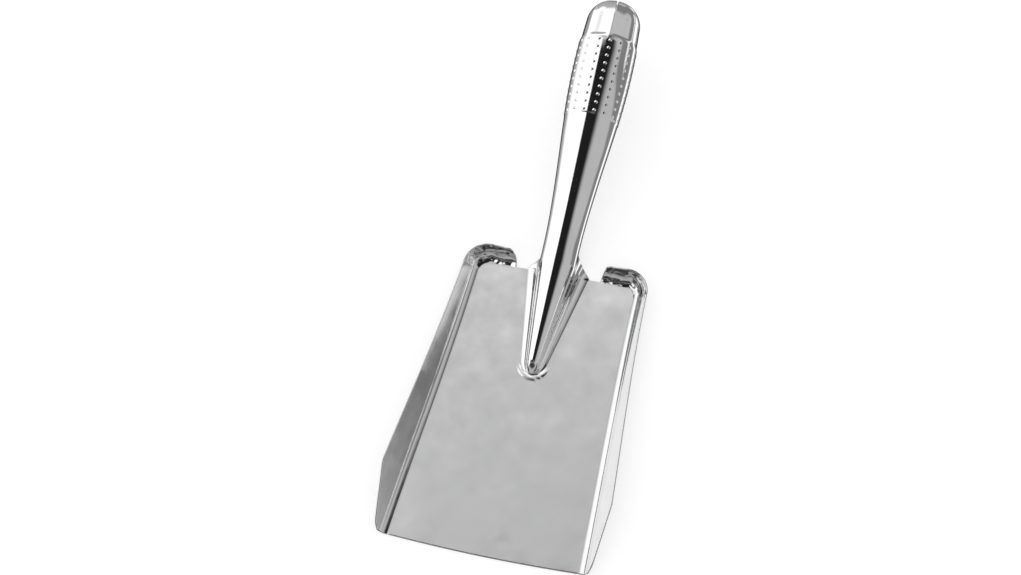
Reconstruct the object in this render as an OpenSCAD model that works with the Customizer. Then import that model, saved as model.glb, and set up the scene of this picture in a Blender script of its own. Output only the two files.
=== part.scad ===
// Ice scoop: a hand shovel pressed and rolled from one polished steel sheet.
// Flat blade with two splayed side walls and two rear lips, a pressed cone
// rib that grows into the neck, and a rolled tube handle with a dotted grip
// and a folded petal end. Units are millimetres. The origin is the middle of
// the flat underside of the blade, +Y runs to the handle, +Z is up.

/* [Sheet] */
// Thickness of the steel sheet
sheet = 1.0; // [0.8:0.1:1.4]
// Inside radius of the bends along the floor
bend_radius = 4.8; // [3:0.1:8]

/* [Blade] */
// Length of the flat floor from the front edge to the rear edge
blade_length = 157; // [120:1:200]
// Width of the flat floor at the rear, between the bends
floor_rear_width = 81.6; // [60:0.2:110]
// Width of the flat floor at the front edge, between the bends
floor_front_width = 95.6; // [70:0.2:130]
// How much wider than a straight taper the floor is half way along
floor_side_bow = -1.4; // [-4:0.2:4]
// How far the front edge bows forward in the middle
front_bow = 1.3; // [0:0.1:6]

/* [Side walls] */
// Height of a side wall at the rear corner
wall_rear_height = 9; // [7:0.5:30]
// Height of a side wall at its front peak
wall_peak_height = 15.5; // [10:0.5:34]
// Distance of the front peak behind the front edge
peak_setback = 32.5; // [15:0.5:60]
// Height left at the front edge
wall_front_height = 4; // [2.5:0.1:8]
// How far the front end of a wall is rounded down
wall_front_drop = 2.4; // [0:0.1:3]
// Length over which the front end is rounded down
wall_front_round = 5; // [2:0.5:10]
// Outward lean of a side wall at the rear
wall_rear_lean = 26; // [0:1:35]
// Outward lean of a side wall at the front
wall_front_lean = 30; // [0:1:40]

/* [Rear lips] */
// Height of the rear lips
lip_height = 10.5; // [7:0.5:28]
// Backward lean of the rear lips
lip_lean = 6; // [0:1:25]
// Clear gap between the two rear lips at the floor
lip_gap = 45.4; // [38:0.2:70]
// How far the inner end of a lip slants outward over its height
lip_end_slant = 3.3; // [0:0.1:8]
// How much lower a lip is at its inner end
lip_end_drop = 0.8; // [0:0.1:2]
// Radius of the upper corner at the inner end of a lip
lip_end_round = 3; // [1:0.5:5]
// Radius of the rear floor corners in plan
corner_radius = 5; // [2:0.5:12]

/* [Neck rib] */
// Length of the pressed rib on the floor
rib_length = 58; // [30:1:80]
// Width of the rib footprint at the rear edge
rib_rear_width = 33.4; // [24:0.2:42]
// Width of the rib footprint near its tip
rib_tip_width = 12; // [8:0.5:20]
// Height of the rib crest above the floor at the rear edge
rib_rear_rise = 17.5; // [12:0.5:28]
// Height of the rib crest above the floor at its tip
rib_tip_rise = 4.4; // [2:0.2:8]
// Length of the rounded nose of the rib crest
rib_nose_length = 6; // [3:0.5:10]
// Radius of the rib crest at its tip
rib_tip_radius = 2.2; // [1:0.1:4]
// Length of the open channel before the neck closes to a tube
channel_length = 34; // [25:1:60]
// Length over which the hollow flanks beside the channel run out
flank_length = 26; // [15:1:30]
// Length over which the cross-section leans over to the handle's angle
tilt_length = 14; // [8:1:24]

/* [Handle] */
// Handle length behind the rear edge of the blade, along its axis
handle_length = 149.5; // [100:0.5:180]
// Rise of the handle above the plane of the blade
handle_angle = 11.5; // [5:0.5:30]
// Outside diameter at the neck
neck_diameter = 18.8; // [14:0.2:24]
// Straight length of the neck before it starts to swell
neck_straight = 8; // [0:1:20]
// Largest outside diameter at the grip
grip_diameter = 31.3; // [24:0.1:36]
// Distance of the largest diameter behind the rear edge
grip_peak = 111; // [80:0.5:125]
// Outside diameter where the folded end starts
shoulder_diameter = 29.6; // [20:0.2:34]
// Length of the folded end
end_length = 13; // [6:0.5:18]
// Width of the seam left along the underside
seam_gap = 0.6; // [0.3:0.1:1.2]

/* [Grip dots] */
// Dots in each lengthwise row
dots_per_row = 10; // [4:1:12]
// Rows around the handle
dot_rows = 16; // [8:1:20]
// Distance between dots along the handle
dot_pitch = 4.36; // [3:0.02:6]
// Distance of the first dot behind the rear edge
first_dot = 82.8; // [70:0.2:100]
// Diameter of one dot at its base
dot_diameter = 2.2; // [1.4:0.1:3]
// Height of one dot
dot_height = 0.6; // [0.3:0.05:1]

/* [Folded end] */
// How far the first cut is turned from the top of the handle
petal_phase = 7.5; // [0:0.5:30]
// Number of folded petals
petals = 7; // [6:1:8]
// Gap between neighbouring petals at the shoulder
petal_gap = 0.4; // [0.2:0.1:1]
// Gap between neighbouring petals at the small hole
petal_notch = 2.2; // [0.6:0.1:2.2]
// Radius of the small hole left where the petals meet
end_hole = 3; // [3:0.5:6]

/* [Hidden] */
steel = [0.78, 0.79, 0.80];
steel_b = [0.70, 0.71, 0.73];
steel_c = [0.62, 0.64, 0.66];

front_y = -blade_length / 2;
rear_y = blade_length / 2;
tip_y = rear_y - rib_length;
peak_y = front_y + peak_setback;
corner_y = rear_y - corner_radius;
neck_r = (neck_diameter - sheet) / 2;
axis_z = sheet / 2 + rib_rear_rise - neck_r;
shoulder_s = handle_length - end_length;
rear_spread = (pow(rib_rear_width / 2, 2) + pow(rib_rear_rise, 2)) / (2 * rib_rear_rise);
rear_turn = acos(1 - rib_rear_rise / rear_spread);
seam_turn = 180 - asin(seam_gap / 2 / neck_r);
$fn = 64;
// Steps that the curved stretches are divided into
lip_steps = 10;
front_steps = 6;
side_steps = 18;
channel_steps = 17;
tube_steps = 22;

function clamp(v, a, b) = min(max(v, a), b);
function mix(a, b, k) = a + (b - a) * k;
function ease(k) = let(c = clamp(k, 0, 1)) c * c * (3 - 2 * c);

// Half width of the flat floor at a given Y.
function half_floor(y) = let(k = (rear_y - y) / blade_length)
    mix(floor_rear_width, floor_front_width, k) / 2 + floor_side_bow * 4 * k * (1 - k) * (1 - k);
corner_x = half_floor(corner_y) - corner_radius;

// Front edge line across the blade.
function front_line(x) = front_y - front_bow * (1 - pow(x / half_floor(front_y), 2));

// Closed skin through a row of loops that all have the same point count.
module loft(loops) {
    n = len(loops[0]);
    m = len(loops);
    pts = [for (l = loops) each l];
    sides = [for (i = [0 : m - 2]) for (j = [0 : n - 1]) let(k = (j + 1) % n)
        each [[i * n + j, (i + 1) * n + j, (i + 1) * n + k], [i * n + j, (i + 1) * n + k, i * n + k]]];
    h = n / 2;
    cap_a = [for (j = [0 : h - 2]) each [[j, j + 1, n - 2 - j], [j, n - 2 - j, n - 1 - j]]];
    e = (m - 1) * n;
    cap_b = [for (j = [0 : h - 2]) each [[e + j + 1, e + j, e + n - 2 - j], [e + n - 2 - j, e + j, e + n - 1 - j]]];
    polyhedron(points = pts, faces = concat(sides, cap_a, cap_b), convexity = 8);
}

// Flange profile as [outward, up] pairs: bend first, then the flat part.
profile_steps = 14;
function rise_angle(h, lean) = let(a = 90 - lean, z = sheet + bend_radius * (1 - cos(a)))
    h >= z ? a : acos(clamp((sheet + bend_radius - h) / bend_radius, -1, 1));
function flat_run(h, lean) = let(a = 90 - lean, z = sheet + bend_radius * (1 - cos(a)))
    h >= z ? (h - z) / sin(a) : 0;
function flange_point(s, rho, lean) = let(a = min(s / bend_radius * 180 / PI, 90 - lean),
    f = max(0, s - bend_radius * (90 - lean) * PI / 180))
    [rho * sin(a) + f * cos(90 - lean), sheet + bend_radius - rho * cos(a) + f * sin(90 - lean)];
function flange(h, lean) = let(
    run = bend_radius * rise_angle(h, lean) * PI / 180 + flat_run(h, lean))
    concat([for (i = [0 : profile_steps]) flange_point(run * i / profile_steps, bend_radius, lean)],
           [for (i = [profile_steps : -1 : 0]) flange_point(run * i / profile_steps, bend_radius + sheet, lean)]);
function placed(prof, p, dir) = [for (q = prof) [p[0] + dir[0] * q[0], p[1] + dir[1] * q[0], q[1]]];

// Side wall height and lean along the blade.
function wall_height(y) = let(d = y - front_y)
    y >= peak_y ? mix(wall_rear_height, wall_peak_height, (rear_y - y) / (rear_y - peak_y))
    : mix(wall_front_height + wall_front_drop, wall_peak_height, d / peak_setback)
      - wall_front_drop * pow(clamp(1 - d / wall_front_round, 0, 1), 2);
function wall_lean(y) = mix(wall_rear_lean, wall_front_lean, ease((rear_y - y) / (rear_y - peak_y)));

module side_wall() {
    ys = concat([for (d = [0, 0.16, 0.36, 0.64, 1]) front_y + d * wall_front_round],
                [for (i = [1 : front_steps]) mix(front_y + wall_front_round, peak_y, i / front_steps)],
                [for (i = [1 : side_steps]) mix(peak_y, corner_y, i / side_steps)]);
    loft([for (y = ys) placed(flange(wall_height(y), wall_lean(y)), [half_floor(y), y], [1, 0])]);
}

// Rear lip with the rounded corner that joins it to the side wall.
module rear_lip() {
    corner = [for (i = [0 : lip_steps]) let(k = i / lip_steps, a = 90 * k)
        placed(flange(mix(wall_height(corner_y), lip_height, k), mix(wall_lean(corner_y), lip_lean, k)),
               [corner_x + corner_radius * cos(a), corner_y + corner_radius * sin(a)], [cos(a), sin(a)])];
    straight = [for (i = [1 : lip_steps]) let(v = 1 - pow(1 - i / lip_steps, 1.6),
        d = (1 - v) * (corner_x - lip_gap / 2), short = max(lip_end_round - d, 0),
        drop = lip_end_round - sqrt(pow(lip_end_round, 2) - pow(short, 2)),
        prof = flange(lip_height - lip_end_drop * v - 0.6 * drop, lip_lean))
        [for (q = prof) [mix(corner_x, lip_gap / 2 + lip_end_slant * q[1] / lip_height, v), rear_y + q[0], q[1]]]];
    loft(concat(corner, straight));
}

// Rib footprint half width, crest rise and crest radius along the floor.
function foot(y) = let(v = (y - tip_y) / rib_length, n = clamp((y - tip_y) / (rib_tip_width * 0.6), 0.02, 1))
    mix(rib_tip_width / 2, rib_rear_width / 2, v) * sqrt(1 - pow(1 - n, 2));
function crest(y) = let(v = (y - tip_y) / rib_length, n = clamp((y - tip_y) / rib_nose_length, 0.03, 1),
    slope = tan(handle_angle) * rib_length, c = slope - (rib_rear_rise - rib_tip_rise))
    (rib_tip_rise + (rib_rear_rise - rib_tip_rise - c) * v + c * v * v) * sqrt(1 - pow(1 - n, 2));
function spread(y) = (pow(foot(y), 2) + pow(crest(y), 2)) / (2 * crest(y));
function crest_r(y) = min(mix(rib_tip_radius, neck_r, (y - tip_y) / rib_length), spread(y) * 0.55);

// Symmetric sheet section: round crest, then the two hollow flanks.
// o = crest centre [y, z], tilt = lean of the section plane.
half_steps = 20;
function half_section(r, rf, t1, t2, off) = let(l1 = r * t1, l2 = rf * t2, l = l1 + l2)
    [for (i = [0 : half_steps]) let(s = l * i / half_steps)
        s <= l1 ? let(a = s / r) [(r + off) * sin(a), (r + off) * cos(a)]
        : let(b = t1 - (s - l1) / rf)
          [(r + rf) * sin(t1) - (rf - off) * sin(b), (r + rf) * cos(t1) - (rf - off) * cos(b)]];
function section(r, rf, t1, t2, o, tilt) = let(
    up = half_section(r, rf, t1, t2, sheet / 2),
    dn = half_section(r, rf, t1, t2, -sheet / 2),
    loop = concat([for (i = [half_steps : -1 : 1]) [-up[i][0], up[i][1]]], up,
                  [for (i = [half_steps : -1 : 0]) dn[i]], [for (i = [1 : half_steps]) [-dn[i][0], dn[i][1]]]))
    [for (q = loop) [q[0], o[0] - q[1] * sin(tilt), o[1] + q[1] * cos(tilt)]];

function rib_ys() = concat([for (d = [0.15, 0.4, 0.8, 1.4, 2.2, 3.2, 4.4, 5.8, 7.4]) tip_y + d],
                           [for (i = [1 : 12]) mix(tip_y + 7.4, rear_y, i / 12)]);
function swell(s) = 0.5 - 0.5 * cos(180 * clamp((s - neck_straight) / (grip_peak - neck_straight), 0, 1));
function outside_d(s) = s <= grip_peak
    ? mix(neck_diameter, grip_diameter, swell(s))
    : grip_diameter - (grip_diameter - shoulder_diameter) * pow((s - grip_peak) / (shoulder_s - grip_peak), 2);

module neck_rib() {
    on_floor = [for (y = rib_ys()) let(r = crest_r(y), sp = spread(y), t = acos(1 - crest(y) / sp))
        section(r, sp - r, t, t, [y, sheet / 2 + crest(y) - r], 0)];
    behind = [for (i = [1 : channel_steps]) let(
        s = channel_length * i / channel_steps,
        r = (outside_d(s) - sheet) / 2,
        t1 = mix(rear_turn, seam_turn, ease(s / channel_length)),
        t2 = rear_turn * pow(clamp(1 - s / flank_length, 0, 1), 1.9))
        section(r, rear_spread - neck_r, t1, t2,
                [rear_y + s * cos(handle_angle), axis_z + s * sin(handle_angle)],
                handle_angle * ease(s / tilt_length))];
    color(steel_b) loft(concat(on_floor, behind));
}

// Frame of the handle: local +Z runs along the handle from the rear edge, local +Y is its underside.
module on_handle() {
    translate([0, rear_y, axis_z]) rotate([handle_angle - 90, 0, 0]) children();
}

module blade_floor() {
    rim = [for (i = [0 : 24]) let(x = mix(-half_floor(front_y), half_floor(front_y), i / 24)) [x, front_line(x)]];
    right = [for (i = [1 : side_steps]) let(y = mix(front_y, corner_y, i / side_steps)) [half_floor(y), y]];
    turn = [for (i = [1 : lip_steps]) let(a = 90 * i / lip_steps)
        [corner_x + corner_radius * cos(a), corner_y + corner_radius * sin(a)]];
    vee = [for (y = rib_ys()) [foot(y), y]];
    edge = concat(right, turn, [for (i = [len(vee) - 1 : -1 : 0]) vee[i]]);
    color(steel) linear_extrude(sheet)
        polygon(concat(rim, edge, [for (i = [len(edge) - 1 : -1 : 1]) [-edge[i][0], edge[i][1]]]));
}

module right_side_wall() { color(steel_c) side_wall(); }
module left_side_wall() { color(steel_c) mirror([1, 0, 0]) side_wall(); }
module right_rear_lip() { color(steel_b) rear_lip(); }
module left_rear_lip() { color(steel_b) mirror([1, 0, 0]) rear_lip(); }

module handle_tube() {
    ss = [for (i = [0 : tube_steps]) mix(channel_length, shoulder_s, i / tube_steps)];
    half_gap = asin(seam_gap / 2 / neck_r);
    color(steel) on_handle() rotate([0, 0, 90 + half_gap]) rotate_extrude(angle = 360 - 2 * half_gap)
        polygon(concat([for (s = ss) [outside_d(s) / 2, s]],
                       [for (i = [tube_steps : -1 : 0]) [outside_d(ss[i]) / 2 - sheet, ss[i]]]));
}

// Every dot is a low dome standing on the tube, built in the handle's frame.
dot_sides = 8;
function dome(s, turn) = let(
    grow = atan((outside_d(s + 0.5) - outside_d(s - 0.5)) / 2),
    foot_r = outside_d(s) / 2 - 0.04,
    rad = [cos(turn), sin(turn), 0], side = [-sin(turn), cos(turn), 0],
    out = rad * cos(grow) - [0, 0, sin(grow)], along = rad * sin(grow) + [0, 0, cos(grow)],
    c = rad * foot_r + [0, 0, s], w = dot_diameter / 2)
    concat([for (k = [0, 1]) for (i = [0 : dot_sides - 1]) let(a = 360 * i / dot_sides, q = k == 0 ? w : w * 0.62)
        c + q * (cos(a) * side + sin(a) * along) + (k == 0 ? 0 : dot_height * 0.72) * out], [c + dot_height * out]);
dome_faces = concat(
    [[for (i = [dot_sides - 1 : -1 : 0]) i]],
    [for (i = [0 : dot_sides - 1]) let(j = (i + 1) % dot_sides) each
        [[i, j, dot_sides + j], [i, dot_sides + j, dot_sides + i], [dot_sides + i, dot_sides + j, 2 * dot_sides]]]);

module grip_dots() {
    spots = [for (j = [0 : dot_rows - 1]) for (i = [0 : dots_per_row - 1])
        [first_dot + i * dot_pitch, (j + 0.5) * 360 / dot_rows]];
    n = 2 * dot_sides + 1;
    color(steel_c) on_handle() polyhedron(
        points = [for (p = spots) each dome(p[0], p[1])],
        faces = [for (k = [0 : len(spots) - 1]) for (f = dome_faces) [for (v = f) v + k * n]],
        convexity = 8);
}

// One folded petal, as a thin tongue that curls in towards the axis.
module petal() {
    steps = 10;
    arc = 6;
    r0 = shoulder_diameter / 2;
    last = acos(end_hole / r0);
    function lip_r(k) = r0 * cos(last * k);
    function lip_s(k) = shoulder_s + end_length * sin(last * k);
    function thick(k, side) = let(e = 0.01, dr = lip_r(min(k + e, 1)) - lip_r(max(k - e, 0)),
        ds = lip_s(min(k + e, 1)) - lip_s(max(k - e, 0)), l = sqrt(dr * dr + ds * ds))
        [lip_r(k) - side * sheet * ds / l, lip_s(k) + side * sheet * dr / l];
    loops = [for (i = [0 : steps]) let(k = i / steps, o = thick(k, 0), q = thick(k, 1),
        gap = mix(petal_gap, petal_notch, ease(k)),
        half = 180 / petals - asin(gap / 2 / o[0]))
        concat([for (j = [0 : arc]) let(a = mix(-half, half, j / arc)) [o[0] * cos(a), o[0] * sin(a), o[1]]],
               [for (j = [arc : -1 : 0]) let(a = mix(-half, half, j / arc)) [q[0] * cos(a), q[0] * sin(a), q[1]]])];
    loft(loops);
}

module end_petals() {
    color(steel_b) on_handle() for (i = [0 : petals - 1])
        rotate([0, 0, petal_phase - 90 + (i + 0.5) * 360 / petals]) petal();
}

blade_floor();
left_side_wall();
right_side_wall();
left_rear_lip();
right_rear_lip();
neck_rib();
handle_tube();
grip_dots();
end_petals();
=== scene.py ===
"""Looks of the ice scoop: one polished sheet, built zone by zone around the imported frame."""
import math

import bpy
import numpy as np
from mathutils import Matrix, Vector


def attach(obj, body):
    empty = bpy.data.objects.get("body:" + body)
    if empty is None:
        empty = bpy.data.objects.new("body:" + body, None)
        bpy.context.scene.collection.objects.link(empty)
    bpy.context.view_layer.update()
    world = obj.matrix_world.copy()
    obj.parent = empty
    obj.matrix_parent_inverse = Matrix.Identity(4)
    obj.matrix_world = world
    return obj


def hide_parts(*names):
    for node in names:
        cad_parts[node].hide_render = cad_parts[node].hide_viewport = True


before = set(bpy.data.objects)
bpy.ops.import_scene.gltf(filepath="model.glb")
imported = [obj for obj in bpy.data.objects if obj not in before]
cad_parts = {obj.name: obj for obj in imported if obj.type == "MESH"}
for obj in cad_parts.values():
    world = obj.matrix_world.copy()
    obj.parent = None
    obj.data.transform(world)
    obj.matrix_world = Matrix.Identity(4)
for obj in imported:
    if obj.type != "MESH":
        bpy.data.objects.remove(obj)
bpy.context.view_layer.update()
MM = 0.001

# ---------------------------------------------------------------- sizes, mm
# Names and values of part.scad, in capitals. Leans are in degrees, other angles in radians.
# SHEET is the thickness and BEND the inside radius of the bends.
SHEET = 1.0
BEND = 4.8
BLADE_LENGTH = 157.0
FLOOR_REAR_WIDTH = 81.6
FLOOR_FRONT_WIDTH = 95.6
FLOOR_SIDE_BOW = -1.4
FRONT_BOW = 1.3
WALL_REAR_HEIGHT = 9.0
WALL_PEAK_HEIGHT = 15.5
PEAK_SETBACK = 32.5
WALL_FRONT_HEIGHT = 4.0
WALL_FRONT_DROP = 2.4
WALL_FRONT_ROUND = 5
WALL_REAR_LEAN = 26.0
WALL_FRONT_LEAN = 30.0
LIP_HEIGHT = 10.5
LIP_LEAN = 6.0
LIP_GAP = 45.4
LIP_END_SLANT = 3.3
LIP_END_DROP = 0.8
CORNER_RADIUS = 5.0
RIB_LENGTH = 58.0
RIB_REAR_WIDTH = 33.4
RIB_TIP_WIDTH = 12.0
RIB_REAR_RISE = 17.5
RIB_TIP_RISE = 4.4
RIB_NOSE_LENGTH = 6
RIB_TIP_RADIUS = 2.2
CHANNEL_LENGTH = 34.0
FLANK_LENGTH = 26
TILT_LENGTH = 14
HANDLE_LENGTH = 149.5
HANDLE_ANGLE = math.radians(11.5)
NECK_DIAMETER = 18.8
NECK_STRAIGHT = 8
GRIP_DIAMETER = 31.3
GRIP_PEAK = 111.0
SHOULDER_DIAMETER = 29.6
END_LENGTH = 13.0
SEAM_GAP = 0.6
DOTS_PER_ROW = 10
DOT_ROWS = 16
DOT_PITCH = 4.36
FIRST_DOT = 82.8
PETALS = 7
PETAL_PHASE = math.radians(7.5)
PETAL_GAP = 0.4
PETAL_NOTCH = 2.2
END_HOLE = 3.0

# Shares and exponents of the same curves
FOOT_NOSE_SHARE = 0.6
CREST_SHARE = 0.55
FLANK_FADE = 1.9

# Detail that the CAD leaves out or has otherwise
LIP_END_ROUND = 2.0
LIP_ROUND_SHARE = 0.6
DOT_RADIUS = 1.05
DOT_HEIGHT = 0.42
DOT_FULLNESS = 0.8
DOT_SINK = 0.05
DOT_DEPTH = 0.3
FACET_START = 124.2
FACET_FADE = 2.4
FACET_MOST = 0.9
FACET_LOSS = 0.6
FACET_LOSS_START = 0.45
FACET_LOSS_REACH = 0.5
BAND_START = 80.5
BAND_END = FACET_START + 0.6
BAND_EDGE = 1.6
BAND_STEP = 0.16
PLAIN_FADE = 30
RING_HALF_WIDTH = 6.2
RING_HALF_LENGTH = 7.2
RING_SCALE = 7.0
RING_WIDTH = 3.6
RING_HEIGHT = 0.2
RING_REACH = 6.0
RING_SETBACK = 1

# How finely the meshes are cut
COLS = 48
PROFILE = 49
HALF = 80
RIM_STEPS = 5
FLOOR_STEPS = 70
ARC_STEPS = 13
SLOPE_STEPS = 24
WALL_STEPS = 80
CORNER_STEPS = 41
LIP_CROWDING = 1.6
RIB_STEPS = 121
RIB_CROWDING = 1.7
CHANNEL_STEPS = 61
TUBE_STEPS = 110
TURN_STEPS = 181
BAND_ROWS = (80, 83, 12)
FACET_ROWS = (124, HANDLE_LENGTH - END_LENGTH, 34)
END_STEPS = 33
PETAL_STEPS = 21
DOT_SIDES = 20
DOT_RINGS = 7

# Small distances that tell borders apart
SMALL = 0.01
NEAR = 0.05
NOTCH_MARGIN = 0.3
ARC_MARGIN = 0.2
SHORTEST_FLANGE = 0.6
WELD_DIGITS = 4
TURN_DIGITS = 5
CUT_MARGIN = 1e-4

FRONT_Y = -BLADE_LENGTH / 2
REAR_Y = BLADE_LENGTH / 2
TIP_Y = REAR_Y - RIB_LENGTH
PEAK_Y = FRONT_Y + PEAK_SETBACK
CORNER_Y = REAR_Y - CORNER_RADIUS
NECK_R = (NECK_DIAMETER - SHEET) / 2
AXIS_Z = SHEET / 2 + RIB_REAR_RISE - NECK_R
SHOULDER_S = HANDLE_LENGTH - END_LENGTH
REAR_SPREAD = ((RIB_REAR_WIDTH / 2) ** 2 + RIB_REAR_RISE ** 2) / (2 * RIB_REAR_RISE)
REAR_TURN = math.acos(1 - RIB_REAR_RISE / REAR_SPREAD)
SEAM_TURN = math.pi - math.asin(SEAM_GAP / 2 / NECK_R)
PETAL_PITCH = 2 * math.pi / PETALS
MID = BEND + SHEET / 2
BEND_Z = SHEET + BEND


def mix(a, b, k):
    return a + (b - a) * k


def ease(k):
    c = np.clip(k, 0, 1)
    return c * c * (3 - 2 * c)


# ---------------------------------------------------------------- mesh making
def surface(points):
    """Vertices, quads and smooth normals of a grid of points, rows first."""
    rows, cols = points.shape[:2]
    along = np.gradient(points, axis=0, edge_order=2)
    across = np.gradient(points, axis=1, edge_order=2)
    normal = np.cross(along, across)
    normal /= np.linalg.norm(normal, axis=2, keepdims=True)
    index = np.arange(rows * cols).reshape(rows, cols)
    corners = [index[:-1, :-1], index[1:, :-1], index[1:, 1:], index[:-1, 1:]]
    return points.reshape(-1, 3), np.stack(corners, axis=-1).reshape(-1, 4), normal.reshape(-1, 3)


def flip(part):
    points, quads, normal = part
    return points, quads[:, ::-1], -normal


def mirrored(part):
    points, quads, normal = part
    side = np.array([-1.0, 1.0, 1.0])
    return points * side, quads[:, ::-1], normal * side


def joined(parts):
    """Welds surfaces that share border points into one."""
    points = np.concatenate([p[0] for p in parts])
    normal = np.concatenate([p[2] for p in parts])
    start = np.cumsum([0] + [len(p[0]) for p in parts[:-1]])
    quads = np.concatenate([p[1] + s for p, s in zip(parts, start)])
    rounded = np.round(points, WELD_DIGITS)
    keys, first, inverse = np.unique(rounded, axis=0, return_index=True, return_inverse=True)
    inverse = inverse.reshape(-1)
    summed = np.zeros((len(keys), 3))
    np.add.at(summed, inverse, normal)
    summed /= np.linalg.norm(summed, axis=1, keepdims=True)
    return points[first], inverse[quads], summed


def border_of(quads):
    """Edges that only one face has, each in the direction of its face."""
    edges = {}
    for a, b, c, d in quads.tolist():
        for edge in ((a, b), (b, c), (c, d), (d, a)):
            edges[edge] = True
    return [edge for edge in edges if (edge[1], edge[0]) not in edges]


def outward(points, normal, border):
    """Direction out of the sheet, within its surface, summed at each border vertex."""
    out = np.zeros((len(points), 3))
    for a, b in border:
        for end in (a, b):
            way = np.cross(points[b] - points[a], normal[end])
            out[end] += way / np.linalg.norm(way)
    return out


def rim_rings(points, normal, out, free):
    """Rows of points and of normals that lead round the rim from the top skin to the bottom one."""
    out = out / np.linalg.norm(out, axis=1, keepdims=True)
    rings, ring_normals = [], []
    for k in range(RIM_STEPS + 1):
        turn = math.pi * k / RIM_STEPS
        round_way = math.cos(turn) * normal + math.sin(turn) * out
        if 0 < k < RIM_STEPS:
            lift = math.cos(turn) * normal + free * math.sin(turn) * out
            rings.append(points + SHEET / 2 * lift)
        ring_normals.append(np.where(free > 0, round_way, out))
    return rings, ring_normals


def thicken(name, part, is_free):
    """A closed sheet around a middle surface. Free borders are rounded, shared ones cut flat."""
    points, quads, normal = part
    count = len(points)
    border = border_of(quads)
    rim = sorted({v for edge in border for v in edge})
    order = {v: i for i, v in enumerate(rim)}
    free = np.array([1.0 if is_free(p) else 0.0 for p in points[rim]])[:, None]
    out = outward(points, normal, border)[rim]
    rings, ring_normals = rim_rings(points[rim], normal[rim], out, free)
    skins = [points + normal * SHEET / 2, points - normal * SHEET / 2]

    def ring_vertex(v, k):
        if k == 0:
            return v
        if k == RIM_STEPS:
            return count + v
        return 2 * count + (k - 1) * len(rim) + order[v]

    faces = quads.tolist() + (quads[:, ::-1] + count).tolist()
    loop_normals = [normal[v] for q in quads for v in q]
    loop_normals += [-normal[v] for q in quads[:, ::-1] for v in q]
    for a, b in border:
        for k in range(RIM_STEPS):
            corners = ((b, k), (a, k), (a, k + 1), (b, k + 1))
            faces.append([ring_vertex(v, ring) for v, ring in corners])
            loop_normals += [ring_normals[ring][order[v]] for v, ring in corners]
    return new_piece(name, np.concatenate(skins + rings), faces, loop_normals)


def new_piece(name, verts, faces, loop_normals=None):
    mesh = bpy.data.meshes.new(name)
    mesh.from_pydata((np.asarray(verts) * MM).tolist(), [], faces)
    mesh.polygons.foreach_set("use_smooth", [True] * len(mesh.polygons))
    mesh.update()
    if loop_normals is not None:
        mesh.normals_split_custom_set([tuple(n) for n in loop_normals])
    piece = bpy.data.objects.new(name, mesh)
    bpy.context.scene.collection.objects.link(piece)
    return piece


# ---------------------------------------------------------------- floor of the blade
def half_floor(y):
    """Half the width of the flat floor."""
    k = (REAR_Y - y) / BLADE_LENGTH
    straight = mix(FLOOR_REAR_WIDTH, FLOOR_FRONT_WIDTH, k) / 2
    return straight + FLOOR_SIDE_BOW * 4 * k * (1 - k) ** 2


CORNER_X = half_floor(CORNER_Y) - CORNER_RADIUS


def nose(y, length):
    """Quarter round from 0 at the rib's tip to 1 at the given length behind it."""
    k = np.clip((y - TIP_Y) / length, 0.0, 1)
    return np.sqrt(1 - (1 - k) ** 2)


def foot(y):
    """Half the width of the rib where it leaves the floor."""
    straight = mix(RIB_TIP_WIDTH / 2, RIB_REAR_WIDTH / 2, (y - TIP_Y) / RIB_LENGTH)
    return straight * nose(y, RIB_TIP_WIDTH * FOOT_NOSE_SHARE)


def crest(y):
    """Height of the rib's top above the floor. It leaves the blade at the handle's angle."""
    v = (y - TIP_Y) / RIB_LENGTH
    bend = math.tan(HANDLE_ANGLE) * RIB_LENGTH - (RIB_REAR_RISE - RIB_TIP_RISE)
    line = RIB_TIP_RISE + (RIB_REAR_RISE - RIB_TIP_RISE - bend) * v + bend * v * v
    return line * nose(y, RIB_NOSE_LENGTH)


RIB_YS = TIP_Y + RIB_LENGTH * (np.linspace(0, 1, RIB_STEPS) ** RIB_CROWDING)
RIB_YS[0] = TIP_Y + 2 * SMALL
FLOOR_FRONT_YS = np.linspace(FRONT_Y + SHEET / 2, TIP_Y, FLOOR_STEPS)
CORNER_YS = CORNER_Y + CORNER_RADIUS * np.sin(np.linspace(0, math.pi / 2, ARC_STEPS))
BESIDE_RIB_YS = RIB_YS[RIB_YS < CORNER_Y - ARC_MARGIN][1:]
FLOOR_REAR_YS = np.concatenate([[TIP_Y], BESIDE_RIB_YS, CORNER_YS])


def floor_relief(x, y):
    """Shallow ring pressed up around the front of the rib."""
    centre = TIP_Y + RING_HALF_LENGTH
    ellipse = np.hypot(x / RING_HALF_WIDTH, (y - centre) / RING_HALF_LENGTH)
    away = (ellipse - 1) * RING_SCALE
    ring = np.sin(math.pi * np.clip(away / RING_WIDTH, 0, 1)) ** 2
    return RING_HEIGHT * ring * ease((centre - RING_SETBACK - y) / RING_REACH)


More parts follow.
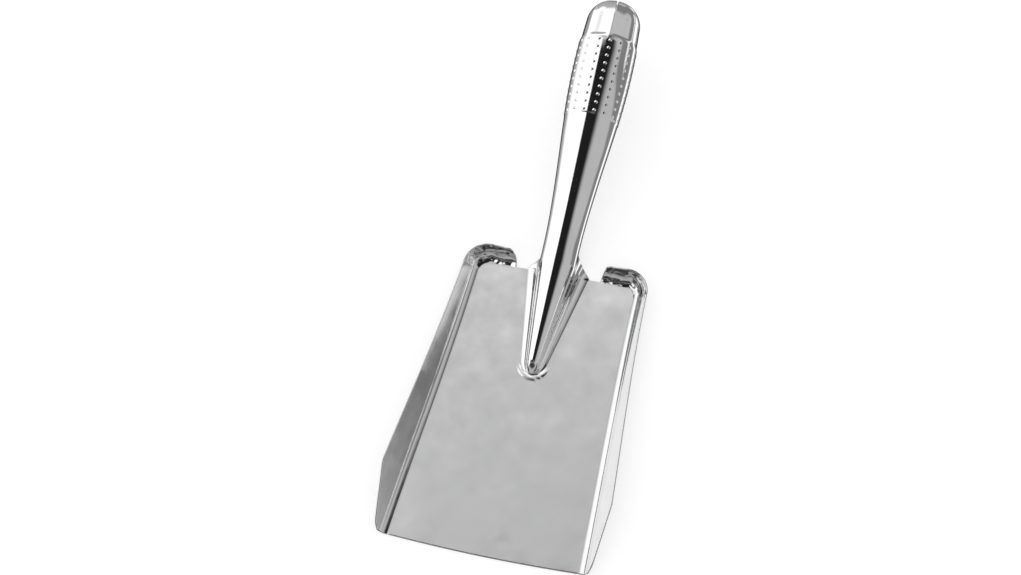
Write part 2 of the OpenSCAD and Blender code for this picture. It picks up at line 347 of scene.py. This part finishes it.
def floor_half(ys, inner, outer):
    """Right half of the floor between two outlines, with the normals of its relief."""
    k = np.linspace(0, 1, COLS + 1)
    x = mix(inner[:, None], outer[:, None], k[None, :])
    y = np.repeat(ys[:, None], COLS + 1, axis=1)
    bow = -FRONT_BOW * (1 - (x / half_floor(FRONT_Y)) ** 2)
    y = y + bow * np.clip((PEAK_Y - y) / PEAK_SETBACK, 0, 1)
    tilt_x = (floor_relief(x + SMALL, y) - floor_relief(x - SMALL, y)) / (2 * SMALL)
    tilt_y = (floor_relief(x, y + SMALL) - floor_relief(x, y - SMALL)) / (2 * SMALL)
    normal = np.stack([-tilt_x, -tilt_y, np.ones_like(x)], axis=-1)
    normal /= np.linalg.norm(normal, axis=2, keepdims=True)
    points = np.stack([x, y, SHEET / 2 + floor_relief(x, y)], axis=-1)
    part = flip(surface(points))
    return part[0], part[1], normal.reshape(-1, 3)


def floor_outer(ys):
    beyond = np.clip(ys - CORNER_Y, 0, CORNER_RADIUS)
    rounded = CORNER_X + np.sqrt(CORNER_RADIUS ** 2 - beyond ** 2)
    return np.where(ys <= CORNER_Y, half_floor(ys), rounded)


def make_blade_floor():
    middle = np.zeros_like(FLOOR_FRONT_YS)
    front = floor_half(FLOOR_FRONT_YS, middle, half_floor(FLOOR_FRONT_YS))
    rear = floor_half(FLOOR_REAR_YS, foot(FLOOR_REAR_YS), floor_outer(FLOOR_REAR_YS))
    whole = joined([front, mirrored(front), rear, mirrored(rear)])
    notch = (RIB_REAR_WIDTH / 2 + NOTCH_MARGIN, LIP_GAP / 2 - NOTCH_MARGIN)

    def is_free(p):
        on_front = p[1] < FRONT_Y + SHEET / 2 + SMALL and abs(p[0]) < half_floor(FRONT_Y) - SMALL
        in_notch = p[1] > REAR_Y - SMALL and notch[0] < abs(p[0]) < notch[1]
        return on_front or in_notch

    return thicken("blade_floor_sheet", whole, is_free)


# ---------------------------------------------------------------- bent-up walls and lips
def flange(height, lean, count):
    """Middle line of a bent-up edge, as (outward, up) pairs from the floor to the free edge."""
    full = math.radians(90 - lean)
    bend_top = SHEET + BEND * (1 - math.cos(full))
    if height >= bend_top:
        run = BEND * full + (height - bend_top) / math.sin(full)
    else:
        run = BEND * math.acos(np.clip((BEND_Z - height) / BEND, -1, 1))
    run = max(run - SHEET / 2, SHORTEST_FLANGE)
    s = run * np.linspace(0, 1, count)
    turn = np.minimum(s / BEND, full)
    flat = np.maximum(0, s - BEND * full)
    outward_run = MID * np.sin(turn) + flat * math.cos(full)
    upward_run = BEND_Z - MID * np.cos(turn) + flat * math.sin(full)
    return outward_run, upward_run


def wall_height(y):
    ahead = y - FRONT_Y
    if y >= PEAK_Y:
        return mix(WALL_REAR_HEIGHT, WALL_PEAK_HEIGHT, (REAR_Y - y) / (REAR_Y - PEAK_Y))
    drop = WALL_FRONT_DROP * np.clip(1 - ahead / WALL_FRONT_ROUND, 0, 1) ** 2
    return mix(WALL_FRONT_HEIGHT + WALL_FRONT_DROP, WALL_PEAK_HEIGHT, ahead / PEAK_SETBACK) - drop


def wall_lean(y):
    return mix(WALL_REAR_LEAN, WALL_FRONT_LEAN, ease((REAR_Y - y) / (REAR_Y - PEAK_Y)))


def bent_part(rows, left):
    """Surface through flange rows, with the floor's own normal where they leave the floor."""
    points, quads, normal = flip(surface(np.array(rows)))
    normal = normal.reshape(len(rows), PROFILE, 3)
    normal[:, 0] = (0, 0, 1)
    part = (points, quads, normal.reshape(-1, 3))
    return mirrored(part) if left else part


NOSE_STEPS = np.array([0.5, 0.8, 1.2, 1.6, 2.1, 2.7, 3.4, 4.2])
SLOPE_YS = np.linspace(FRONT_Y + WALL_FRONT_ROUND, PEAK_Y, SLOPE_STEPS)
LONG_YS = np.linspace(PEAK_Y, CORNER_Y, WALL_STEPS)[1:]
WALL_YS = np.concatenate([FRONT_Y + NOSE_STEPS, SLOPE_YS, LONG_YS])


def make_side_wall(name, left):
    rows = []
    for y in WALL_YS:
        out, up = flange(wall_height(y), wall_lean(y), PROFILE)
        rows.append(np.stack([half_floor(y) + out, np.full(PROFILE, y), up], axis=-1))

    def is_free(p):
        return p[2] > SHEET / 2 + 2 * SMALL and p[1] < CORNER_Y - SMALL

    return thicken(name, bent_part(rows, left), is_free)


def corner_row(k):
    """One profile of the rounded corner, from the side wall at 0 to the lip at 1."""
    turn = k * math.pi / 2
    height = mix(wall_height(CORNER_Y), LIP_HEIGHT, k)
    out, up = flange(height, mix(wall_lean(CORNER_Y), LIP_LEAN, k), PROFILE)
    x = CORNER_X + math.cos(turn) * (CORNER_RADIUS + out)
    y = CORNER_Y + math.sin(turn) * (CORNER_RADIUS + out)
    return np.stack([x, y, up], axis=-1)


def lip_row(k):
    """One profile of the lip, from the corner at 0 to its slanted, rounded inner end at 1."""
    v = 1 - (1 - k) ** LIP_CROWDING
    left_over = (1 - v) * (CORNER_X - LIP_GAP / 2)
    drop = 0.0
    if left_over < LIP_END_ROUND:
        drop = LIP_END_ROUND - math.sqrt(LIP_END_ROUND ** 2 - (LIP_END_ROUND - left_over) ** 2)
    out, up = flange(LIP_HEIGHT - LIP_END_DROP * v - LIP_ROUND_SHARE * drop, LIP_LEAN, PROFILE)
    x = mix(CORNER_X, LIP_GAP / 2 + LIP_END_SLANT * up / LIP_HEIGHT, v)
    return np.stack([x, REAR_Y + out, up], axis=-1)


def make_rear_lip(name, left):
    ways = np.linspace(0, 1, CORNER_STEPS)
    rows = [corner_row(k) for k in ways] + [lip_row(k) for k in ways[1:]]

    def is_free(p):
        return p[2] > SHEET / 2 + 2 * SMALL and p[1] >= CORNER_Y + SMALL

    return thicken(name, bent_part(rows, left), is_free)


# ---------------------------------------------------------------- neck
def outside_r(s):
    """Outside radius of the tube at distance s behind the blade's rear edge."""
    k = np.clip((s - NECK_STRAIGHT) / (GRIP_PEAK - NECK_STRAIGHT), 0, 1)
    swell = mix(NECK_DIAMETER, GRIP_DIAMETER, 0.5 - 0.5 * np.cos(math.pi * k))
    past = (s - GRIP_PEAK) / (SHOULDER_S - GRIP_PEAK)
    taper = GRIP_DIAMETER - (GRIP_DIAMETER - SHOULDER_DIAMETER) * past ** 2
    return np.where(s <= GRIP_PEAK, swell, taper) / 2


def neck_section(r, flank_r, crest_turn, flank_turn, origin, tilt):
    """Round crest, then the hollow flank on each side; origin is the crest centre as (y, z)."""
    s = (r * crest_turn + flank_r * flank_turn) * np.linspace(-1, 1, 2 * HALF + 1)
    side, s = np.sign(s), np.abs(s)
    a = np.minimum(s / r, crest_turn)
    b = crest_turn - np.maximum(s - r * crest_turn, 0) / flank_r
    on_crest = s <= r * crest_turn
    reach = r + flank_r
    x = np.where(on_crest, r * np.sin(a), reach * math.sin(crest_turn) - flank_r * np.sin(b))
    z = np.where(on_crest, r * np.cos(a), reach * math.cos(crest_turn) - flank_r * np.cos(b))
    y = origin[0] - z * math.sin(tilt)
    return np.stack([side * x, y, origin[1] + z * math.cos(tilt)], axis=-1)


def rib_row(y):
    """Section of the rib on the floor."""
    wide, high = float(foot(y)), float(crest(y))
    spread = (wide ** 2 + high ** 2) / (2 * high)
    r = min(mix(RIB_TIP_RADIUS, NECK_R, (y - TIP_Y) / RIB_LENGTH), spread * CREST_SHARE)
    turn = math.acos(1 - high / spread)
    return neck_section(r, spread - r, turn, turn, (y, SHEET / 2 + high - r), 0)


def channel_row(s):
    """Section of the open channel behind the floor. Its flanks run out as it closes."""
    r = float(outside_r(s)) - SHEET / 2
    turn = mix(REAR_TURN, SEAM_TURN, ease(s / CHANNEL_LENGTH))
    tail = REAR_TURN * max(1 - s / FLANK_LENGTH, 0) ** FLANK_FADE
    centre = (REAR_Y + s * math.cos(HANDLE_ANGLE), AXIS_Z + s * math.sin(HANDLE_ANGLE))
    tilt = HANDLE_ANGLE * ease(s / TILT_LENGTH)
    return neck_section(r, REAR_SPREAD - NECK_R, turn, tail, centre, tilt)


def make_neck_rib():
    rows = [rib_row(y) for y in RIB_YS]
    rows += [channel_row(s) for s in np.linspace(0, CHANNEL_LENGTH, CHANNEL_STEPS)[1:]]
    points, quads, normal = flip(surface(np.array(rows)))
    normal = normal.reshape(len(rows), 2 * HALF + 1, 3)
    normal[:len(RIB_YS), 0] = (0, 0, 1)
    normal[:len(RIB_YS), -1] = (0, 0, 1)

    def is_free(p):
        along = (p[1] - REAR_Y) * math.cos(HANDLE_ANGLE) + (p[2] - AXIS_Z) * math.sin(HANDLE_ANGLE)
        return p[1] > REAR_Y + NEAR and abs(along - CHANNEL_LENGTH) > NEAR

    return thicken("neck_rib_sheet", (points, quads, normal.reshape(-1, 3)), is_free)


# ---------------------------------------------------------------- handle
AXIS = np.array([0.0, math.cos(HANDLE_ANGLE), math.sin(HANDLE_ANGLE)])
UPWARD = np.array([0.0, -math.sin(HANDLE_ANGLE), math.cos(HANDLE_ANGLE)])
SIDEWAYS = np.array([1.0, 0.0, 0.0])
HANDLE_START = np.array([0.0, REAR_Y, AXIS_Z])


def on_handle(s, r, turn):
    """Point s along the handle and r from its axis; turn goes from the top towards +X."""
    s, r, turn = np.broadcast_arrays(s, r, turn)
    radial = np.sin(turn)[..., None] * SIDEWAYS + np.cos(turn)[..., None] * UPWARD
    return HANDLE_START + s[..., None] * AXIS + r[..., None] * radial


def facet(turn):
    """How far a flat between two cuts lies inside the round, as a share of the radius."""
    off = np.mod(turn - PETAL_PHASE, PETAL_PITCH) - PETAL_PITCH / 2
    return 1 - math.cos(PETAL_PITCH / 2) / np.cos(off)


def flattening(turn):
    """Share of the full flat: strongest beside the cut nearest the top, softer round the sides."""
    away = np.abs(np.mod(turn - PETAL_PHASE + math.pi, 2 * math.pi) - math.pi)
    past = away - FACET_LOSS_START * PETAL_PITCH
    return FACET_MOST - FACET_LOSS * ease(past / (FACET_LOSS_REACH * PETAL_PITCH))


def grip_step(s):
    """How far the skin lies inside the tube's radius: 0 in the dotted band, a little elsewhere."""
    plain_tube = ease((s - CHANNEL_LENGTH) / PLAIN_FADE)
    band = ease((s - BAND_START) / BAND_EDGE) * ease((BAND_END - s) / BAND_EDGE)
    return -BAND_STEP * plain_tube * (1 - band)


def make_handle_tube():
    cuts = PETAL_PHASE + PETAL_PITCH * np.arange(-4, 5)
    cuts = cuts[(cuts > -SEAM_TURN) & (cuts < SEAM_TURN)]
    turns = np.concatenate([np.linspace(-SEAM_TURN, SEAM_TURN, TURN_STEPS), cuts])
    turns = np.unique(np.round(turns, TURN_DIGITS))
    whole = np.linspace(CHANNEL_LENGTH, SHOULDER_S, TUBE_STEPS)
    extra = [np.linspace(*BAND_ROWS), np.linspace(*FACET_ROWS)]
    stations = np.unique(np.concatenate([whole] + extra))
    s, turn = np.meshgrid(stations, turns, indexing="ij")
    flatten = flattening(turn) * ease((s - FACET_START) / FACET_FADE)
    r = (outside_r(s) + grip_step(s)) * (1 - flatten * facet(turn)) - SHEET / 2

    def is_free(p):
        return False

    return thicken("handle_tube_sheet", flip(surface(on_handle(s, r, turn))), is_free)


def dot_verts(s, turn):
    """A low dome pressed out of the tube: its top, its rings, and a point that closes it below."""
    slope = math.atan(float(outside_r(s + 0.5) - outside_r(s - 0.5)))
    radial = math.sin(turn) * SIDEWAYS + math.cos(turn) * UPWARD
    out = radial * math.cos(slope) - AXIS * math.sin(slope)
    along = radial * math.sin(slope) + AXIS * math.cos(slope)
    around = np.cross(out, along)
    centre = HANDLE_START + s * AXIS + (float(outside_r(s)) - DOT_SINK) * radial
    verts = [centre + out * DOT_HEIGHT]
    for k in range(1, DOT_RINGS + 1):
        reach = DOT_RADIUS * k / DOT_RINGS
        rise = DOT_HEIGHT * (0.5 + 0.5 * math.cos(math.pi * k / DOT_RINGS)) ** DOT_FULLNESS
        for j in range(DOT_SIDES):
            a = 2 * math.pi * j / DOT_SIDES
            verts.append(centre + reach * (math.cos(a) * around + math.sin(a) * along) + rise * out)
    return verts + [centre - DOT_DEPTH * out]


def dot_faces(first):
    """Faces of one dot whose vertices start at first."""
    faces = []
    under = first + 1 + DOT_RINGS * DOT_SIDES
    last = under - DOT_SIDES
    for j in range(DOT_SIDES):
        n = (j + 1) % DOT_SIDES
        faces.append([first, first + 1 + n, first + 1 + j])
        for k in range(DOT_RINGS - 1):
            a = first + 1 + k * DOT_SIDES
            b = a + DOT_SIDES
            faces.append([a + j, a + n, b + n, b + j])
        faces.append([last + j, last + n, under])
    return faces


def make_grip_dots():
    verts, faces = [], []
    for row in range(DOT_ROWS):
        turn = (row + 0.5) * 2 * math.pi / DOT_ROWS
        for i in range(DOTS_PER_ROW):
            faces += dot_faces(len(verts))
            verts += dot_verts(FIRST_DOT + i * DOT_PITCH, turn)
    return new_piece("grip_dots_raised", np.array(verts), faces)


def end_profile():
    """Radius and height of the folded end's middle surface, from the shoulder to the small hole."""
    big, deep = SHOULDER_DIAMETER / 2, END_LENGTH
    turn = math.acos(END_HOLE / big) * np.linspace(0, 1, END_STEPS)
    slope_r, slope_h = deep * np.cos(turn), big * np.sin(turn)
    size = np.hypot(slope_r, slope_h)
    radius = big * np.cos(turn) - BAND_STEP - SHEET / 2 * slope_r / size
    height = deep * np.sin(turn) - SHEET / 2 * slope_h / size
    return radius, height


def make_end_petals():
    radius, height = end_profile()
    gap = mix(PETAL_GAP, PETAL_NOTCH, ease(np.linspace(0, 1, END_STEPS)))
    parts = []
    for i in range(PETALS):
        middle = PETAL_PHASE + (i + 0.5) * PETAL_PITCH
        half = math.pi / PETALS - np.arcsin(gap / 2 / radius)
        turn = middle + half[:, None] * np.linspace(-1, 1, PETAL_STEPS)[None, :]
        own = math.pi / PETALS - CUT_MARGIN
        flat = flattening(turn) * facet(np.clip(turn, middle - own, middle + own))
        r = radius[:, None] * (1 - flat)
        parts.append(flip(surface(on_handle(SHOULDER_S + height[:, None], r, turn))))
    points = np.concatenate([p[0] for p in parts])
    quads = np.concatenate([p[1] + i * len(parts[0][0]) for i, p in enumerate(parts)])
    normal = np.concatenate([p[2] for p in parts])

    def is_free(p):
        return np.dot(p - HANDLE_START, AXIS) > SHOULDER_S + NEAR

    return thicken("end_petals_folded", (points, quads, normal), is_free)


# ---------------------------------------------------------------- materials
LINE_STRETCH = (1.0, 0.03, 1.0)
LINE_SCALE = 2600.0
LINE_DETAIL = 2.0
LINE_STRENGTH = 0.25
WAVE_DETAIL = 1.5
WAVE_STRENGTH = 1.0
SMUDGE_SCALE = 90.0
SMUDGE_DETAIL = 4.0
SMUDGE_RANGE = (0.35, 0.7)
POLISH_RANGE = (0.75, 1.35)
TINT_FROM = (0.3, 0.3, 0.3)
TINT_TO = (0.75, 0.75, 0.75)
TINT_DARK = (0.97, 0.97, 0.975)
TINT_LIGHT = (1.03, 1.03, 1.035)
# Map Range names its vector sockets like its plain ones, so they are picked by number.
VECTOR_IN = 6
VECTOR_RANGE = (7, 8, 9, 10)


def add_node(tree, kind, values=()):
    """New node with the given input values, as pairs of input and value."""
    node = tree.nodes.new(kind)
    for key, value in values:
        node.inputs[key].default_value = value
    return node


def noise(tree, vector, scale, detail):
    node = add_node(tree, "ShaderNodeTexNoise", (("Scale", scale), ("Detail", detail)))
    tree.links.new(vector, node.inputs["Vector"])
    return node.outputs["Fac"]


def bump(tree, height, strength, distance):
    node = add_node(tree, "ShaderNodeBump", (("Strength", strength), ("Distance", distance)))
    tree.links.new(height, node.inputs["Height"])
    return node


def uneven_polish(tree, smudge, rough):
    """Roughness that follows the smudges."""
    node = add_node(tree, "ShaderNodeMapRange", (
        ("From Min", SMUDGE_RANGE[0]), ("From Max", SMUDGE_RANGE[1]),
        ("To Min", rough * POLISH_RANGE[0]), ("To Max", rough * POLISH_RANGE[1])))
    tree.links.new(smudge, node.inputs["Value"])
    return node.outputs["Result"]


def uneven_tint(tree, smudge, tint):
    """Steel colour that follows the smudges, a trace bluer than grey."""
    node = tree.nodes.new("ShaderNodeMapRange")
    node.data_type = "FLOAT_VECTOR"
    dark = [tint * share for share in TINT_DARK]
    light = [tint * share for share in TINT_LIGHT]
    for socket, value in zip(VECTOR_RANGE, (TINT_FROM, TINT_TO, dark, light)):
        node.inputs[socket].default_value = value
    spread = tree.nodes.new("ShaderNodeCombineXYZ")
    for axis in range(3):
        tree.links.new(smudge, spread.inputs[axis])
    tree.links.new(spread.outputs["Vector"], node.inputs[VECTOR_IN])
    return node.outputs["Vector"]


def steel(name, rough, wave, wave_scale, tint=0.80, grain=0.000003):
    """Polished stainless sheet: soft waves, fine rolling lines, smudges and uneven polish."""
    material = bpy.data.materials.new(name)
    material.use_nodes = True
    tree = material.node_tree
    link = tree.links.new
    shader = tree.nodes["Principled BSDF"]
    shader.inputs["Metallic"].default_value = 1.0
    place_on = tree.nodes.new("ShaderNodeTexCoord").outputs["Object"]
    stretch = add_node(tree, "ShaderNodeMapping", (("Scale", LINE_STRETCH),))
    link(place_on, stretch.inputs["Vector"])
    waves = noise(tree, place_on, wave_scale, WAVE_DETAIL)
    lines = noise(tree, stretch.outputs["Vector"], LINE_SCALE, LINE_DETAIL)
    smudge = noise(tree, place_on, SMUDGE_SCALE, SMUDGE_DETAIL)
    link(uneven_polish(tree, smudge, rough), shader.inputs["Roughness"])
    link(uneven_tint(tree, smudge, tint), shader.inputs["Base Color"])
    soft = bump(tree, waves, WAVE_STRENGTH, wave)
    fine = bump(tree, lines, LINE_STRENGTH, grain)
    link(soft.outputs["Normal"], fine.inputs["Normal"])
    link(fine.outputs["Normal"], shader.inputs["Normal"])
    return material


TABLE_GREY = (0.5, 0.5, 0.5, 1)
TABLE_ROUGHNESS = 0.9
TABLE_LIGHT = 0.62
PURE_WHITE = (1, 1, 1, 1)


def light_table():
    """White diffusing sheet, softly lit from below."""
    material = bpy.data.materials.new("light table")
    material.use_nodes = True
    shader = material.node_tree.nodes["Principled BSDF"]
    shader.inputs["Base Color"].default_value = TABLE_GREY
    shader.inputs["Roughness"].default_value = TABLE_ROUGHNESS
    shader.inputs["Specular IOR Level"].default_value = 0.0
    shader.inputs["Emission Color"].default_value = PURE_WHITE
    shader.inputs["Emission Strength"].default_value = TABLE_LIGHT
    return material


# ---------------------------------------------------------------- pieces
def place(piece, node, material):
    piece.data.materials.append(material)
    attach(piece, "root")
    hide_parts(node)


blade_steel = steel("blade steel", rough=0.17, wave=0.0005, wave_scale=34.0)
# Walls and lips are the same steel with a darker tint (0.74 against 0.80): painted shade that makes
# them look darker than the rest of the sheet.
wall_steel = steel("wall steel", rough=0.10, wave=0.0002, wave_scale=45.0, tint=0.74)
lip_steel = steel("lip steel", rough=0.09, wave=0.0022, wave_scale=130.0, tint=0.74)
neck_steel = steel("neck steel", rough=0.045, wave=0.00005, wave_scale=90.0, grain=0.0)
handle_steel = steel("handle steel", rough=0.07, wave=0.0001, wave_scale=60.0)
dot_steel = steel("dot steel", rough=0.07, wave=0.0, wave_scale=60.0)
end_steel = steel("end steel", rough=0.12, wave=0.0002, wave_scale=90.0)

place(make_blade_floor(), "blade_floor", blade_steel)
place(make_side_wall("left_side_wall_sheet", True), "left_side_wall", wall_steel)
place(make_side_wall("right_side_wall_sheet", False), "right_side_wall", wall_steel)
place(make_rear_lip("left_rear_lip_sheet", True), "left_rear_lip", lip_steel)
place(make_rear_lip("right_rear_lip_sheet", False), "right_rear_lip", lip_steel)
place(make_neck_rib(), "neck_rib", neck_steel)
place(make_handle_tube(), "handle_tube", handle_steel)
place(make_grip_dots(), "grip_dots", dot_steel)
place(make_end_petals(), "end_petals", end_steel)

# ---------------------------------------------------------------- studio
FLOOR_SIZE = 6.0
FLOOR_DROP = 0.0002
bpy.ops.mesh.primitive_plane_add(size=FLOOR_SIZE, location=(0, 0, -FLOOR_DROP))
floor = bpy.context.object
floor.name = "studio_floor"
floor.data.materials.append(light_table())
floor.visible_glossy = False


class Tones:
    """Small helper that writes arithmetic into a node tree."""

    def __init__(self, tree):
        self.tree = tree

    def put(self, socket, value):
        if isinstance(value, (int, float)):
            socket.default_value = value
        else:
            self.tree.links.new(value, socket)

    def math(self, operation, a, b):
        node = self.tree.nodes.new("ShaderNodeMath")
        node.operation = operation
        self.put(node.inputs[0], a)
        self.put(node.inputs[1], b)
        return node.outputs[0]

    def step(self, value, bounds):
        """0 before the first bound, 1 after the second, smooth between."""
        node = self.tree.nodes.new("ShaderNodeMapRange")
        node.interpolation_type = "SMOOTHSTEP"
        self.put(node.inputs["Value"], value)
        node.inputs["From Min"].default_value = bounds[0]
        node.inputs["From Max"].default_value = bounds[1]
        return node.outputs[0]

    def fall(self, value, bounds):
        """1 before the first bound, 0 after the second, smooth between."""
        return self.math("SUBTRACT", 1.0, self.step(value, bounds))

    def span(self, value, bounds):
        """1 between the two middle bounds, 0 outside the outer ones, smooth between."""
        return self.math("MULTIPLY", self.step(value, bounds[:2]), self.fall(value, bounds[2:]))

    def blend(self, a, b, k):
        """a where k is 0, b where k is 1."""
        return self.math("ADD", a, self.math("MULTIPLY", self.math("SUBTRACT", b, a), k))

    def cover(self, tone, new, *masks):
        """The new tone where every mask is 1, the old one where any is 0."""
        mask = masks[0]
        for other in masks[1:]:
            mask = self.math("MULTIPLY", mask, other)
        return self.blend(tone, new, mask)


# Brightness of each zone of the dome
WHITE = 1.35
RIGHT_GREY = 0.56
FAR_RIGHT_GREY = 0.25
BLADE_GREY = 0.61
BLACK = 0.016
REAR_SLOT = 0.11
REAR_LIGHT = 0.6
GLOW = 1.0
GROUND_GREY = 0.4
GROUND_DARK = 0.03
FRONT_DARK = 0.012
FRONT_LIGHT = 0.16
SOFT_GREY = 0.5

# Bounds of each zone, as parts of a direction one unit long: X right, Y to the handle, Z up.
# Two bounds are where a zone starts and is full; four add where it fades and ends.
RIGHT_X = (0.2, 0.3)
FAR_Y = (0.58, 0.75)
FAR_Z = (0.3, 0.55)
REAR_Y_BOUNDS = (0.26, 0.31)
REAR_X = (-0.04, 0.02)
REAR_RISE_X = (0.02, 0.62)
REAR_RISE_Z = (0.4, 0.56)
GLOW_X = (0.5, 0.6)
GLOW_Y = (0.38, 0.42)
GLOW_Z = (-0.10, -0.04, 0.05, 0.12)
CARD_X = (-0.62, -0.23, -0.06, 0.0)
CARD_Y = (0.28, 0.31, 0.48, 0.53)
CARD_Z = (0.5, 0.65)
SLOT_X = (-0.30, -0.24, 0.38, 0.72)
SLOT_Y = (-0.36, -0.31)
SLOT_Z = (0.4, 0.6)
SLOT_ENDS = (0.28, 0.32)
SLOT_END_X = (-0.06, -0.02)
SLOT_EDGE = (-0.015, 0.015)
FRONT_Y_BOUNDS = (-0.5, -0.42)
FRONT_LEVEL_Z = (-0.2, -0.05, 0.36, 0.6)
NEAR_X = (-0.8, -0.6, 0.3, 0.5)
NEAR_Y = (-0.5, -0.42, -0.2, -0.12)
NEAR_Z = (0.45, 0.6)
BLOB_SCALE = 7.0
BLOB_DETAIL = 1.0
BLOB_RANGE = (0.42, 0.6)
# The photographer looks this way. The aim is 1 straight along it, at the ground behind the scoop.
GROUND_WAY = (-0.185, 0.441, -0.878)
GROUND_GREY_AIM = (0.35, 0.75)
GROUND_STRIP_AIM = (0.5, 0.58, 0.68, 0.76)
GROUND_STRIP_X = (0.1, 0.2)
GROUND_DARK_AIM = (0.8, 0.92)


def rear_tones(t, tone, x, y, z):
    """Far end, rear right and a low glow there. The left wall and its bend reflect the last two."""
    tone = t.cover(tone, SOFT_GREY, t.step(y, FAR_Y), t.fall(z, FAR_Z))
    rise = t.blend(REAR_SLOT, REAR_LIGHT, t.step(x, REAR_RISE_X))
    rise = t.blend(FAR_RIGHT_GREY, rise, t.step(z, REAR_RISE_Z))
    tone = t.cover(tone, rise, t.step(y, REAR_Y_BOUNDS), t.step(x, REAR_X))
    return t.cover(tone, GLOW, t.span(z, GLOW_Z), t.step(x, GLOW_X), t.step(y, GLOW_Y))


def overhead_tones(t, tone, x, y, z):
    """Grey card that the flat floor reflects, and dark slot along the top of handle and rib."""
    tone = t.cover(tone, BLADE_GREY, t.span(x, CARD_X), t.span(y, CARD_Y), t.step(z, CARD_Z))
    end = t.blend(SLOT_ENDS[0], SLOT_ENDS[1], t.step(x, SLOT_END_X))
    past = t.math("SUBTRACT", y, end)
    slot = (t.span(x, SLOT_X), t.step(y, SLOT_Y), t.fall(past, SLOT_EDGE), t.step(z, SLOT_Z))
    return t.cover(tone, BLACK, *slot)


def front_tones(t, tone, unit, x, y, z):
    """Dark, blotchy front, seen in the rear lips and the front edge, and a grey level strip."""
    blobs = noise(t.tree, unit, BLOB_SCALE, BLOB_DETAIL)
    dark = t.blend(FRONT_DARK, FRONT_LIGHT, t.step(blobs, BLOB_RANGE))
    front = t.blend(dark, SOFT_GREY, t.span(z, FRONT_LEVEL_Z))
    tone = t.cover(tone, front, t.fall(y, FRONT_Y_BOUNDS))
    return t.cover(tone, dark, t.span(y, NEAR_Y), t.span(x, NEAR_X), t.step(z, NEAR_Z))


def ground_tones(t, tone, x, y, z):
    """Ground behind the scoop, seen where its surfaces turn away from the photographer."""
    aim = t.math("ADD", t.math("MULTIPLY", x, GROUND_WAY[0]), t.math("MULTIPLY", y, GROUND_WAY[1]))
    aim = t.math("ADD", aim, t.math("MULTIPLY", z, GROUND_WAY[2]))
    tone = t.cover(tone, GROUND_GREY, t.step(aim, GROUND_GREY_AIM))
    tone = t.cover(tone, WHITE, t.span(aim, GROUND_STRIP_AIM), t.step(x, GROUND_STRIP_X))
    return t.cover(tone, GROUND_DARK, t.step(aim, GROUND_DARK_AIM))


def dome_material():
    """Emission that depends only on the direction from the scoop."""
    material = bpy.data.materials.new("studio dome")
    material.use_nodes = True
    tree = material.node_tree
    tree.nodes.clear()
    unit = tree.nodes.new("ShaderNodeVectorMath")
    unit.operation = "NORMALIZE"
    coords = tree.nodes.new("ShaderNodeTexCoord")
    tree.links.new(coords.outputs["Object"], unit.inputs[0])
    split = tree.nodes.new("ShaderNodeSeparateXYZ")
    tree.links.new(unit.outputs[0], split.inputs[0])
    x, y, z = split.outputs
    t = Tones(tree)
    tone = t.blend(WHITE, RIGHT_GREY, t.step(x, RIGHT_X))
    tone = rear_tones(t, tone, x, y, z)
    tone = overhead_tones(t, tone, x, y, z)
    tone = front_tones(t, tone, unit.outputs[0], x, y, z)
    tone = ground_tones(t, tone, x, y, z)
    light = tree.nodes.new("ShaderNodeEmission")
    t.put(light.inputs["Strength"], tone)
    out = tree.nodes.new("ShaderNodeOutputMaterial")
    tree.links.new(light.outputs[0], out.inputs["Surface"])
    material.cycles.emission_sampling = "NONE"
    return material


DOME_RADIUS = 4.0


def studio_dome():
    """Soft boxes and dark cloths around the scoop, on a far dome that only reflections see."""
    bpy.ops.mesh.primitive_uv_sphere_add(segments=64, ring_count=32, radius=DOME_RADIUS)
    dome = bpy.context.object
    dome.name = "studio_dome"
    dome.data.materials.append(dome_material())
    dome.visible_camera = False
    dome.visible_diffuse = False
    dome.visible_shadow = False
    dome.visible_transmission = False


studio_dome()

SKY_STRENGTH = 0.85
world = bpy.data.worlds.new("studio")
bpy.context.scene.world = world
world.use_nodes = True
world.node_tree.nodes["Background"].inputs["Color"].default_value = PURE_WHITE
world.node_tree.nodes["Background"].inputs["Strength"].default_value = SKY_STRENGTH
world.cycles_visibility.glossy = False
bpy.context.scene.view_settings.view_transform = "Standard"

# ---------------------------------------------------------------- camera
CAMERA_AZIMUTH = math.radians(22.78)
CAMERA_ELEVATION = math.radians(61.39)
CAMERA_ROLL = math.radians(9.77)
CAMERA_DISTANCE = 1.1455
CAMERA_TARGET = Vector((-0.02244, 0.06685, 0.00024))
CAMERA_LENS = 78.26
CAMERA_SENSOR = 36.0

level_reach = math.cos(CAMERA_ELEVATION)
back = Vector((level_reach * math.sin(CAMERA_AZIMUTH),
               -level_reach * math.cos(CAMERA_AZIMUTH), math.sin(CAMERA_ELEVATION)))
level = Vector((math.cos(CAMERA_AZIMUTH), math.sin(CAMERA_AZIMUTH), 0))
upright = back.cross(level)
up = upright * math.cos(CAMERA_ROLL) + level * math.sin(CAMERA_ROLL)
right = up.cross(back)
camera_data = bpy.data.cameras.new("camera")
camera_data.lens = CAMERA_LENS
camera_data.sensor_width = CAMERA_SENSOR
camera = bpy.data.objects.new("camera", camera_data)
bpy.context.scene.collection.objects.link(camera)
facing = Matrix((right, up, back)).transposed().to_4x4()
camera.matrix_world = Matrix.Translation(CAMERA_TARGET + back * CAMERA_DISTANCE) @ facing
bpy.context.scene.camera = camera
